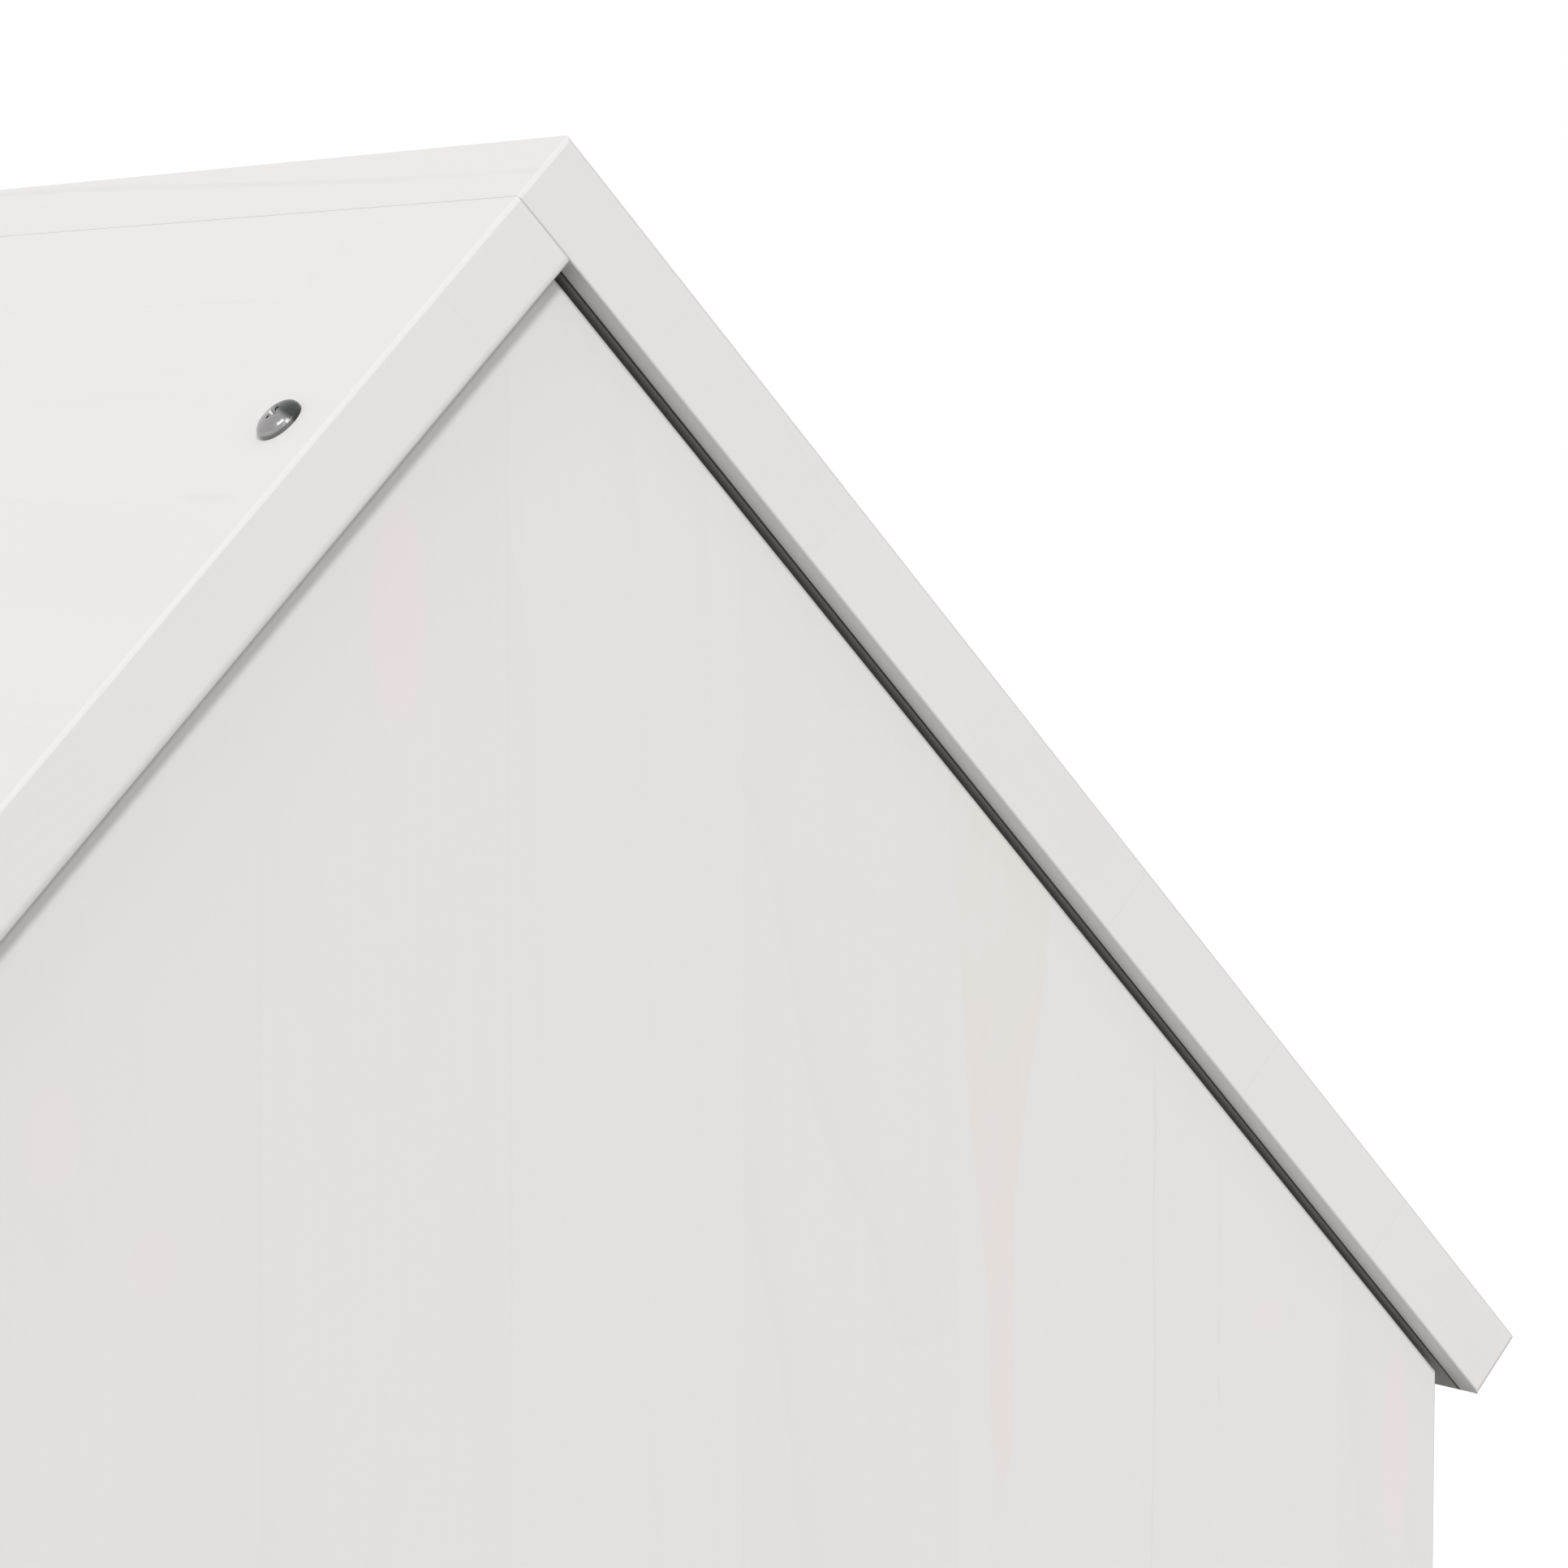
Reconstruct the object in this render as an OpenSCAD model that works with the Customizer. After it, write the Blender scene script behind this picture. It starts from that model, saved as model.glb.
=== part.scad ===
// Gabled cat house of painted pine boards.
// +X is to the right, +Y runs from the doorway to the rear and +Z is up.
// The origin is on the ground, under the middle of the roof.

/* [House] */
// Length of the roof along the ridge
house_len = 500; // [400:5:600]
// Width of the roof over both eaves
roof_w = 465; // [420:5:510]
// Height of the ridge above the ground
house_h = 435; // [400:5:480]
// Slope of both roof panels in degrees
roof_pitch = 45; // [42:1:47]

/* [Boards] */
// Thickness of the roof panels
roof_t = 15; // [12:1:20]
// Thickness of the two gables
gable_t = 15; // [12:1:20]
// Thickness of the two side walls
side_t = 15; // [12:1:20]
// Thickness of the floor panel
floor_t = 12; // [9:1:18]
// Width of the small bevel on the boards' outer edges
edge_ease = 1; // [0.4:0.1:2]

/* [Roof edges] */
// How far the eaves reach past the side walls, level
eave_reach = 18; // [14:1:30]
// How far the roof reaches past the gables, front and rear
verge_reach = 5; // [2:1:25]
// Shadow gap between the gables' sloping edges and the roof
gable_gap = 1.4; // [0.4:0.1:3]

/* [Doorway] */
// Width of the doorway
door_w = 160; // [130:2:190]
// Height of the doorway from its sill to the top of its arch
door_h = 146; // [110:2:160]
// Height of the sill above the floor panel
door_step = 7; // [2:1:20]

/* [Corner battens] */
// Side of the square battens in the four corners
batten_w = 20; // [16:1:30]
// Room between a batten's top and the lower edge of the side wall's bevel
batten_top_gap = 6; // [2:1:30]

/* [Bearers] */
// Height of the bearers under the floor
bearer_h = 15; // [12:1:25]
// Width of the bearers
bearer_w = 30; // [20:1:50]
// Space between a gable and the nearest bearer
bearer_inset = 15; // [5:1:60]
// Gap all round between the floor panel and the walls
floor_gap = 0.5; // [0.3:0.1:2]

/* [Screws] */
// Diameter of a pan head
head_d = 8.6; // [7:0.2:10]
// Height of a pan head
head_h = 2.3; // [2:0.1:3.5]
// Height of the straight rim of a pan head
head_rim = 0.6; // [0.4:0.1:1.2]
// Diameter of a countersunk head
sunk_d = 7.6; // [6:0.2:9]
// Diameter of every shank
shank_d = 4; // [3:0.1:5]
// Length of the pointed tip
tip_len = 4; // [2:0.5:6]
// Diameter of the tip's blunt point
tip_d = 0.5; // [0.3:0.1:1]
// Width of a cross recess's slots
drive_w = 1.1; // [0.8:0.1:1.5]
// Length of a cross recess's slots
drive_len = 4.6; // [3:0.1:5]
// Depth of a cross recess
drive_depth = 1.5; // [1:0.1:2]
// Clearance round a shank in its hole
shank_fit = 0.05; // [0.02:0.01:0.3]
// Room past a tip at the end of its hole
tip_room = 1; // [0.5:0.5:2]

/* [Screw depths and places] */
// Depth of the roof and ridge screws in the board below
roof_bite = 20; // [15:1:30]
// Depth of the batten screws in the walls
batten_bite = 9; // [6:1:10]
// Depth of the floor screws in the bearers
floor_bite = 9; // [6:1:10]
// Depth of the bearer screws in the ends of the bearers
bearer_bite = 20; // [15:1:30]
// Distance of the roof screws from both ends of the left panel
roof_screw_end = 53; // [30:1:70]
// Distance of the roof screws from the middle of the gables' edges, away from the roof's edges
roof_screw_back = 2; // [0:0.5:3]
// Number of ridge screws
ridge_screw_n = 4; // [2:1:6]
// Distance of the first and last ridge screws from the panel's edges
ridge_screw_end = 60; // [30:5:90]
// Distance of the gable screws from both ends of a batten
batten_screw_end = 25; // [15:1:30]
// Step from a batten's gable screw to its side-wall screw
batten_screw_step = 25; // [15:1:30]
// Distance of the floor screws from the side walls
floor_screw_in = 60; // [30:5:90]

/* [Hidden] */
$fn = 48;
// Facets of the doorway's arch and the pan heads' domes
fine_fn = 96;
// Extra length of a cutting body past the face that it cuts
over = 1;

// Edges that run from front to rear get a slightly narrower bevel, so that the corners close cleanly
long_ease = 0.8 * edge_ease;

// Roof: a panel's slope, and how far the right one laps over the end of the left one
slope_len = roof_w / 2 / cos(roof_pitch);
lap = roof_t / sin(2 * roof_pitch);
under_ridge = house_h - roof_t / cos(roof_pitch);

// Walls: outer faces, inner faces and the heights of a side wall's bevelled top
wall_x = roof_w / 2 - eave_reach;
gable_y = house_len / 2 - verge_reach;
inner_x = wall_x - side_t;
inner_y = gable_y - gable_t;
wall_top = under_ridge - wall_x * tan(roof_pitch);
wall_top_in = under_ridge - inner_x * tan(roof_pitch);
gable_drop = gable_gap / cos(roof_pitch);

// Floor, sill and the battens that stand on the floor
floor_top = bearer_h + floor_t;
sill_z = floor_top + door_step;
spring_z = sill_z + door_h - door_w / 2;
batten_len = wall_top - batten_top_gap - floor_top;
bearer_y = inner_y - bearer_inset - bearer_w / 2;

// Screws: lengths under the head and the radius of the pan head's dome
roof_screw_len = roof_t + roof_bite;
batten_screw_len = batten_w + batten_bite;
floor_screw_len = floor_t + floor_bite;
bearer_screw_len = side_t + bearer_bite;
dome_h = head_h - head_rim;
dome_r = (head_d * head_d / 4 + dome_h * dome_h) / (2 * dome_h);
sunk_h = (sunk_d - shank_d) / 2;

gable_mid_y = gable_y - gable_t / 2;
roof_screw_at = [lap + roof_screw_end, slope_len - roof_screw_end];
roof_screw_y = gable_mid_y - roof_screw_back;
ridge_step = (house_len - 2 * ridge_screw_end) / (ridge_screw_n - 1);
ridge_screw_at = [for (i = [0 : ridge_screw_n - 1]) i * ridge_step - house_len / 2 + ridge_screw_end];
gable_screw_at = [floor_top + batten_screw_end, floor_top + batten_len - batten_screw_end];
side_screw_at = [gable_screw_at[0] + batten_screw_step, gable_screw_at[1] - batten_screw_step];

paint = [0.91, 0.905, 0.895];
inner_paint = [0.87, 0.865, 0.855];
zinc = [0.72, 0.73, 0.75];

// Runs an outline drawn in X and Z along Y, about the plane Y = 0
module along_y(length) {
    rotate([90, 0, 0])
        linear_extrude(height = length, center = true)
            children();
}

function unit(v) = v / norm(v);

// An outline with each corner cut back by the bevel of the edges that run along Y
function eased(outline) = [
    for (i = [0 : len(outline) - 1])
        let (
            corner = outline[i],
            before = outline[(i + len(outline) - 1) % len(outline)],
            after = outline[(i + 1) % len(outline)]
        )
        each [corner + long_ease * unit(before - corner), corner + long_ease * unit(after - corner)]
];

// 1 where a convex outline runs anticlockwise in X and Z, and -1 where it runs clockwise
function winding(outline) = sign(cross(outline[1] - outline[0], outline[2] - outline[1]));

// Bar that bevels the edge from p to q, two points in X and Z, of the end face at y; face is its direction
module edge_cut(p, q, y, face, turn) {
    run = q - p;
    bar = 4 * edge_ease;
    translate([p[0], y, p[1]])
        rotate([0, -atan2(run[1], run[0]), 0])
            rotate([-face * (90 + turn * 45), 0, 0])
                translate([-over, -bar / 2, -edge_ease / sqrt(2)])
                    cube([norm(run) + 2 * over, bar, bar]);
}

// Board with an outline in X and Z that runs along Y, about y, all its edges bevelled
module board(outline, length, y = 0) {
    difference() {
        translate([0, y, 0])
            along_y(length)
                polygon(eased(outline));
        for (i = [0 : len(outline) - 1], face = [-1, 1])
            edge_cut(
                outline[i],
                outline[(i + 1) % len(outline)],
                y + face * length / 2,
                face,
                winding(outline)
            );
    }
}

function rectangle(x, z, width, height) = [
    [x - width / 2, z],
    [x + width / 2, z],
    [x + width / 2, z + height],
    [x - width / 2, z + height]
];

// Places a screw on the outer face of a roof panel, its head outwards; side is -1 left or 1 right
module on_slope(side, down, y) {
    translate([side * down * cos(roof_pitch), y, house_h - down * sin(roof_pitch)])
        rotate([0, side * roof_pitch, 0])
            children();
}

module roof_screw_places(side) {
    for (down = roof_screw_at, y = [-roof_screw_y, roof_screw_y])
        on_slope(side, down, y)
            children();
}

module ridge_screw_places() {
    for (y = ridge_screw_at)
        on_slope(1, lap / 2, y)
            children();
}

// On the battens' inner faces, the heads towards the cabin and the tips in the gables
module gable_screw_places(ends = [-1, 1]) {
    for (x = [-1, 1], y = ends, z = gable_screw_at)
        translate([x * (inner_x - batten_w / 2), y * (inner_y - batten_w), z])
            rotate([y * 90, 0, 0])
                children();
}

// On the battens' inner faces, the heads towards the cabin and the tips in the side walls
module side_screw_places(sides = [-1, 1]) {
    for (x = sides, y = [-1, 1], z = side_screw_at)
        translate([x * (inner_x - batten_w), y * (inner_y - batten_w / 2), z])
            rotate([0, -x * 90, 0])
                children();
}

module floor_screw_places() {
    for (x = [-1, 1], y = [-bearer_y, 0, bearer_y])
        translate([x * (inner_x - floor_screw_in), y, floor_top])
            children();
}

module bearer_screw_places(sides = [-1, 1]) {
    for (x = sides, y = [-bearer_y, 0, bearer_y])
        translate([x * wall_x, y, bearer_h / 2])
            rotate([0, x * 90, 0])
                children();
}

module shank(length) {
    translate([0, 0, tip_len - length])
        cylinder(d = shank_d, h = length - tip_len);
    translate([0, 0, -length])
        cylinder(d1 = tip_d, d2 = shank_d, h = tip_len);
}

module cross_recess(top) {
    for (turn = [0, 90])
        rotate([0, 0, turn])
            translate([-drive_len / 2, -drive_w / 2, top - drive_depth])
                cube([drive_len, drive_w, drive_depth + over]);
}

// Pan-head screw that seats on Z = 0 and points down
module pan_screw(length) {
    difference() {
        intersection() {
            cylinder(d = head_d, h = head_h);
            translate([0, 0, head_h - dome_r])
                sphere(r = dome_r, $fn = fine_fn);
        }
        cross_recess(head_h);
    }
    shank(length);
}

// Countersunk screw whose head is flush with Z = 0
module sunk_screw(length) {
    difference() {
        translate([0, 0, -sunk_h])
            cylinder(d1 = shank_d, d2 = sunk_d, h = sunk_h);
        cross_recess(0);
    }
    translate([0, 0, -sunk_h])
        shank(length - sunk_h);
}

module screw_hole(length) {
    translate([0, 0, -length - tip_room])
        cylinder(d = shank_d + 2 * shank_fit, h = length + tip_room + over);
}

module sunk_hole(length) {
    wide = sunk_d + 2 * shank_fit;
    narrow = shank_d + 2 * shank_fit;
    screw_hole(length);
    translate([0, 0, -sunk_h])
        cylinder(d1 = narrow, d2 = wide, h = sunk_h);
}

function gable_outline() = [
    [-wall_x, 0],
    [wall_x, 0],
    [wall_x, wall_top - gable_drop],
    [0, under_ridge - gable_drop],
    [-wall_x, wall_top - gable_drop]
];

// Straight jambs under a half-round arch
module doorway() {
    translate([0, -gable_mid_y, 0])
        along_y(gable_t + 2 * over)
            intersection() {
                union() {
                    translate([-door_w / 2, sill_z])
                        square([door_w, spring_z - sill_z]);
                    translate([0, spring_z])
                        circle(d = door_w, $fn = fine_fn);
                }
                translate([-door_w / 2, sill_z])
                    square([door_w, door_h]);
            }
}

// Gable board with the holes of its roof and batten screws; end is -1 front or 1 rear
module gable_board(end) {
    difference() {
        board(gable_outline(), gable_t, end * gable_mid_y);
        for (side = [-1, 1])
            roof_screw_places(side)
                screw_hole(roof_screw_len);
        gable_screw_places([end])
            screw_hole(batten_screw_len);
    }
}

module front_gable() {
    color(paint)
        difference() {
            gable_board(-1);
            doorway();
        }
}

module rear_gable() {
    color(paint)
        gable_board(1);
}

// Side wall between the gables, its top bevelled to the roof; side is -1 left or 1 right
module side_wall(side) {
    color(paint)
        difference() {
            board([
                [side * inner_x, 0],
                [side * wall_x, 0],
                [side * wall_x, wall_top],
                [side * inner_x, wall_top_in]
            ], 2 * inner_y);
            side_screw_places([side])
                screw_hole(batten_screw_len);
            bearer_screw_places([side])
                screw_hole(bearer_screw_len);
        }
}

module left_side_wall() {
    side_wall(-1);
}

module right_side_wall() {
    side_wall(1);
}

// Corners of a panel's lower end, cut square to the slope; side is -1 left or 1 right
function eave_outer(side) = [side * roof_w / 2, house_h - roof_w / 2 * tan(roof_pitch)];
function eave_inner(side) = eave_outer(side) - roof_t * [side * sin(roof_pitch), cos(roof_pitch)];
function lap_corner() = [-lap * cos(roof_pitch), house_h - lap * sin(roof_pitch)];

// The upper end stops on the right panel's underside
module left_roof_panel() {
    color(paint)
        difference() {
            board([lap_corner(), eave_outer(-1), eave_inner(-1), [0, under_ridge]], house_len);
            roof_screw_places(-1)
                screw_hole(roof_screw_len);
            ridge_screw_places()
                screw_hole(roof_screw_len);
        }
}

// The upper end is flush with the left panel's outer face
module right_roof_panel() {
    color(paint)
        difference() {
            board([[0, house_h], eave_outer(1), eave_inner(1), lap_corner()], house_len);
            roof_screw_places(1)
                screw_hole(roof_screw_len);
            ridge_screw_places()
                screw_hole(roof_screw_len);
        }
}

module floor_panel() {
    color(inner_paint)
        difference() {
            board(rectangle(0, bearer_h, 2 * (inner_x - floor_gap), floor_t), 2 * (inner_y - floor_gap));
            floor_screw_places()
                sunk_hole(floor_screw_len);
        }
}

module bearer(y) {
    color(inner_paint)
        difference() {
            board(rectangle(0, 0, 2 * inner_x, bearer_h), bearer_w, y);
            floor_screw_places()
                sunk_hole(floor_screw_len);
            bearer_screw_places()
                screw_hole(bearer_screw_len);
        }
}

module front_bearer() {
    bearer(-bearer_y);
}

module middle_bearer() {
    bearer(0);
}

module rear_bearer() {
    bearer(bearer_y);
}

// Square strip in a corner; side is -1 left or 1 right, end is -1 front or 1 rear
module corner_batten(side, end) {
    color(inner_paint)
        difference() {
            board(
                rectangle(side * (inner_x - batten_w / 2), floor_top, batten_w, batten_len),
                batten_w,
                end * (inner_y - batten_w / 2)
            );
            gable_screw_places([end])
                screw_hole(batten_screw_len);
            side_screw_places([side])
                screw_hole(batten_screw_len);
        }
}

module front_left_batten() {
    corner_batten(-1, -1);
}

module front_right_batten() {
    corner_batten(1, -1);
}

module rear_left_batten() {
    corner_batten(-1, 1);
}

module rear_right_batten() {
    corner_batten(1, 1);
}

module left_roof_screws() {
    color(zinc)
        roof_screw_places(-1)
            pan_screw(roof_screw_len);
}

module right_roof_screws() {
    color(zinc)
        roof_screw_places(1)
            pan_screw(roof_screw_len);
}

module ridge_screws() {
    color(zinc)
        ridge_screw_places()
            pan_screw(roof_screw_len);
}

module gable_batten_screws() {
    color(zinc)
        gable_screw_places()
            pan_screw(batten_screw_len);
}

module side_batten_screws() {
    color(zinc)
        side_screw_places()
            pan_screw(batten_screw_len);
}

module floor_screws() {
    color(zinc)
        floor_screw_places()
            sunk_screw(floor_screw_len);
}

module bearer_screws() {
    color(zinc)
        bearer_screw_places()
            pan_screw(bearer_screw_len);
}

front_gable();
rear_gable();
left_side_wall();
right_side_wall();
left_roof_panel();
right_roof_panel();
floor_panel();
front_bearer();
middle_bearer();
rear_bearer();
front_left_batten();
front_right_batten();
rear_left_batten();
rear_right_batten();
left_roof_screws();
right_roof_screws();
ridge_screws();
gable_batten_screws();
side_batten_screws();
floor_screws();
bearer_screws();
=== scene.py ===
import math
import random

import bmesh
import bpy
from mathutils import Matrix, Vector


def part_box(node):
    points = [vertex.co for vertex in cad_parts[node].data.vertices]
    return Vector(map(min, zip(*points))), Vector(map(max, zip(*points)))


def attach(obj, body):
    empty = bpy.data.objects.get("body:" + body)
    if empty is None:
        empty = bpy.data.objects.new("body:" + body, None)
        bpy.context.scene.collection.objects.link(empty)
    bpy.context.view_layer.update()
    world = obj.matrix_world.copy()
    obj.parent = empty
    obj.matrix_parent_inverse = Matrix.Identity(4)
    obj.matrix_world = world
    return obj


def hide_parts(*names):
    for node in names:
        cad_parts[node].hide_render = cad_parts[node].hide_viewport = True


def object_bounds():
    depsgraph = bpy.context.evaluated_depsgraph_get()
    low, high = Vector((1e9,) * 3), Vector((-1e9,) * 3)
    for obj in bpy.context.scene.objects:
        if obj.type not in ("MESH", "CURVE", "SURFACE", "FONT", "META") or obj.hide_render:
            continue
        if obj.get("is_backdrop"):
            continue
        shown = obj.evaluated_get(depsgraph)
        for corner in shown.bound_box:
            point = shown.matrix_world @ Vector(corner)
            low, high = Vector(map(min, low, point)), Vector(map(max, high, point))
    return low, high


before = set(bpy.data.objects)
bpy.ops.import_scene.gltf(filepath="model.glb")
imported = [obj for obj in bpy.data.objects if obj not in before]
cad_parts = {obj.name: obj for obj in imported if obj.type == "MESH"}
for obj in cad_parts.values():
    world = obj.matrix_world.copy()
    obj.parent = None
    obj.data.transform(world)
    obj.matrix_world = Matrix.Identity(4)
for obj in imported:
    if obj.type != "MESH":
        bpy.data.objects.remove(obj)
cad_low, cad_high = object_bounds()

# Front gable
# An upright panel of glued pine staves, sawn to a pentagon with an arched doorway and painted white.
# Its edges are eased by hand. It stands a little below the roof and is screwed to the battens from inside.
RIDGE_HEIGHT = 0.435
PITCH = math.radians(45)
ROOF_BOARD = 0.015
SHADOW_GAP = 0.0014
DOOR_WIDTH = 0.160
DOOR_HEIGHT = 0.146
SILL_HEIGHT = 0.034
ARCH_STEPS = 48
EASE = 0.0015
WALL_EASE = 0.0006
ARRIS = 0.0003
EASE_STEPS = 4
WHITE_PAINT = (0.810, 0.797, 0.788)
PAINT_SHINE = 0.30
PAINT_ROUGHNESS = (0.64, 0.70)
# Painted shade that darkens the rounded rims and stands in for softer light on them
PAINTED_RIM_SHADE = 0.12
RESIN_TINT = (0.805, 0.763, 0.722, 1)
PINK_TINT = (0.842, 0.777, 0.776, 1)
# Painted shade: the dark colour of the faces inside the gap under the roof, and a darker painted shadow line
# at its mouth
PAINTED_GAP_SHADE = (0.480, 0.465, 0.450, 1)
PAINTED_GAP_SHADOW = (0.100, 0.095, 0.090, 1)
STAVE = 0.0493
RING_STEP = 0.0027
GLUE_LINE = 0.0005
GLUE_CORE = 0.0002
FRONT_JOINT = 0.1383
FRONT_GLUE_CRACK = 0.1378
FRONT_SHORT_CRACK = 0.1550
CRACK_CORE = 0.0001
CRACK_FADE = 0.0002
RESIN_FADE = 0.0008

# X, height, half width, half height and strength of the paint's pink patches
PINK_PATCHES = (
    (-0.0315, 0.355, 0.006, 0.019, 0.9),
    (-0.0970, 0.274, 0.005, 0.009, 0.7),
    (-0.0790, 0.252, 0.005, 0.007, 0.6),
    (0.1680, 0.214, 0.004, 0.003, 0.8),
    (0.2030, 0.184, 0.004, 0.020, 0.9),
)

gable_low, gable_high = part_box("front_gable")
wall_x = gable_high.x
under_ridge = RIDGE_HEIGHT - ROOF_BOARD / math.cos(PITCH)
gable_peak = under_ridge - SHADOW_GAP / math.cos(PITCH)
gable_shoulder = gable_peak - wall_x * math.tan(PITCH)


def plug(tree, socket, value):
    """Leads a node's output into a socket, or sets the socket's own value"""
    if isinstance(value, bpy.types.Node):
        value = value.outputs[0]
    if isinstance(value, bpy.types.NodeSocket):
        tree.links.new(value, socket)
    else:
        socket.default_value = value


def node(tree, kind, inputs={}, **settings):
    """Adds a node and fills its inputs, which go by name or number"""
    made = tree.nodes.new(kind)
    for name, value in settings.items():
        setattr(made, name, value)
    for key, value in inputs.items():
        plug(tree, made.inputs[key], value)
    return made


def calc(tree, operation, *values, clamp=False):
    return node(tree, "ShaderNodeMath", dict(enumerate(values)), operation=operation, use_clamp=clamp)


def total(tree, first, *parts):
    """first, with each part added as often as its amount says"""
    for part, amount in parts:
        first = calc(tree, "MULTIPLY_ADD", part, amount, first)
    return first


def noise(tree, vector, scale, detail=2.0):
    stretched = node(tree, "ShaderNodeVectorMath", {0: vector, 1: scale}, operation="MULTIPLY")
    return node(tree, "ShaderNodeTexNoise", {"Vector": stretched, "Scale": 1.0, "Detail": detail})


def ramp(tree, value, low, high, to_low=0.0, to_high=1.0):
    inputs = {0: value, 1: low, 2: high, 3: to_low, 4: to_high}
    return node(tree, "ShaderNodeMapRange", inputs, interpolation_type="SMOOTHSTEP")


def blend(tree, share, first, second):
    return node(tree, "ShaderNodeMix", {0: share, 6: first, 7: second}, data_type="RGBA").outputs[2]


def hairline(tree, value, middle, half_width, fade):
    """1 within half_width of middle, falling to 0 over fade"""
    distance = calc(tree, "ABSOLUTE", calc(tree, "SUBTRACT", value, middle))
    return ramp(tree, distance, half_width + fade, half_width)


def painted_pine(name, across, along, seed, first_joint=0.0, marks=None, gap_shade=None):
    """White satin paint with painted shade on the rims, on glued pine staves that show through it faintly"""
    material = bpy.data.materials.new(name)
    material.use_nodes = True
    tree = material.node_tree
    shader = tree.nodes["Principled BSDF"]
    shader.inputs["Specular IOR Level"].default_value = PAINT_SHINE
    across, along = Vector(across), Vector(along)
    turn = Matrix((across, along.cross(across), along)).to_euler()
    place = node(tree, "ShaderNodeTexCoord").outputs["Object"]
    grain = node(tree, "ShaderNodeMapping", {"Vector": place, "Rotation": turn})
    x, y, z = node(tree, "ShaderNodeSeparateXYZ", {0: grain}).outputs

    strip = calc(tree, "DIVIDE", calc(tree, "SUBTRACT", x, first_joint), STAVE)
    number = calc(tree, "ADD", calc(tree, "FLOOR", strip), seed)
    chance = node(tree, "ShaderNodeTexWhiteNoise", {"W": number}, noise_dimensions="1D").outputs["Color"]
    tone, pith, lean = node(tree, "ShaderNodeSeparateColor", {0: chance}).outputs
    in_strip = calc(tree, "MULTIPLY", calc(tree, "SUBTRACT", calc(tree, "FRACT", strip), 0.5), STAVE)
    own_y = calc(tree, "MULTIPLY_ADD", number, 0.37, y)
    moved = node(tree, "ShaderNodeCombineXYZ", {0: x, 1: own_y, 2: z})

    knot_place = node(tree, "ShaderNodeVectorMath", {0: moved, 1: (8.5, 1.0, 3.6)}, operation="MULTIPLY")
    cells = node(tree, "ShaderNodeTexVoronoi", {"Vector": knot_place, "Scale": 1.0})
    from_knot = cells.outputs["Distance"]
    knot_chance = node(tree, "ShaderNodeSeparateColor", {0: cells.outputs["Color"]})
    knot_size = calc(tree, "MULTIPLY", calc(tree, "SUBTRACT", knot_chance, 0.62), 0.2)
    knot = ramp(tree, calc(tree, "SUBTRACT", knot_size, from_knot), 0.0, 0.015)
    has_knot = calc(tree, "GREATER_THAN", knot_size, 0.0)
    swell = calc(tree, "MULTIPLY", ramp(tree, from_knot, 0.3, 0.0), has_knot)

    pith_x = calc(tree, "MULTIPLY_ADD", pith, 0.07, -0.035)
    from_x = calc(tree, "SUBTRACT", in_strip, pith_x)
    from_y = calc(tree, "ADD", y, calc(tree, "MULTIPLY_ADD", lean, 0.05, 0.012))
    square = calc(tree, "MULTIPLY_ADD", from_x, from_x, calc(tree, "MULTIPLY", from_y, from_y))
    taper = calc(tree, "MULTIPLY", z, calc(tree, "SUBTRACT", tone, 0.5))
    wobble = calc(tree, "SUBTRACT", noise(tree, moved, (16, 16, 2.6)), 0.5)
    radius = total(tree, calc(tree, "SQRT", square), (taper, 0.08), (wobble, 0.009), (swell, 0.006))
    late = calc(tree, "POWER", calc(tree, "FRACT", calc(tree, "DIVIDE", radius, RING_STEP)), 4.0)
    late = calc(tree, "MULTIPLY", late, ramp(tree, noise(tree, moved, (9, 9, 3)), 0.42, 0.7, 0.15, 1.0))

    fibre = calc(tree, "SUBTRACT", noise(tree, moved, (1100, 1100, 16)), 0.5)
    cloud = calc(tree, "SUBTRACT", noise(tree, moved, (30, 30, 9)), 0.5)
    from_middle = calc(tree, "ABSOLUTE", in_strip)
    glue = ramp(tree, from_middle, STAVE / 2 - GLUE_LINE, STAVE / 2 - GLUE_CORE)
    glue = calc(tree, "MULTIPLY", glue, ramp(tree, noise(tree, moved, (20, 1, 14)), 0.4, 0.6))
    light = total(tree, 0.994, (late, -0.012), (fibre, 0.012), (cloud, 0.012), (glue, -0.012), (tone, 0.012))
    facing = node(tree, "ShaderNodeNewGeometry").outputs["Normal"]
    facing = node(tree, "ShaderNodeMapping", {"Vector": facing, "Rotation": turn})
    squares = node(tree, "ShaderNodeVectorMath", {0: facing, 1: facing}, operation="MULTIPLY")
    squares = node(tree, "ShaderNodeSeparateXYZ", {0: squares}).outputs
    squarest = calc(tree, "MAXIMUM", squares[0], calc(tree, "MAXIMUM", squares[1], squares[2]))
    # painted shade on the rounded rims, where the normal leans away from the board's axes
    light = calc(tree, "MULTIPLY_ADD", ramp(tree, squarest, 0.97, 0.75), -PAINTED_RIM_SHADE, light)
    warm = calc(tree, "MULTIPLY", ramp(tree, noise(tree, moved, (17, 17, 2.2), 3), 0.56, 0.74), 0.22)
    warm = calc(tree, "MAXIMUM", warm, knot)
    pink = calc(tree, "MULTIPLY", ramp(tree, noise(tree, moved, (23, 23, 4), 3), 0.58, 0.74), 0.45)
    pores = noise(tree, moved, (420, 420, 420))
    depth = total(tree, 0.0, (late, -0.004), (fibre, 0.004), (glue, -0.012), (knot, -0.01), (pores, 0.006))
    if marks:
        own_warm, own_pink, own_dark = marks(tree, place)
        warm = calc(tree, "MAXIMUM", warm, own_warm)
        pink = calc(tree, "MAXIMUM", calc(tree, "MULTIPLY", pink, 0.4), own_pink)
        light = calc(tree, "MULTIPLY_ADD", own_dark, -0.02, light)
        depth = calc(tree, "MULTIPLY_ADD", own_dark, -0.012, depth)

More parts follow.
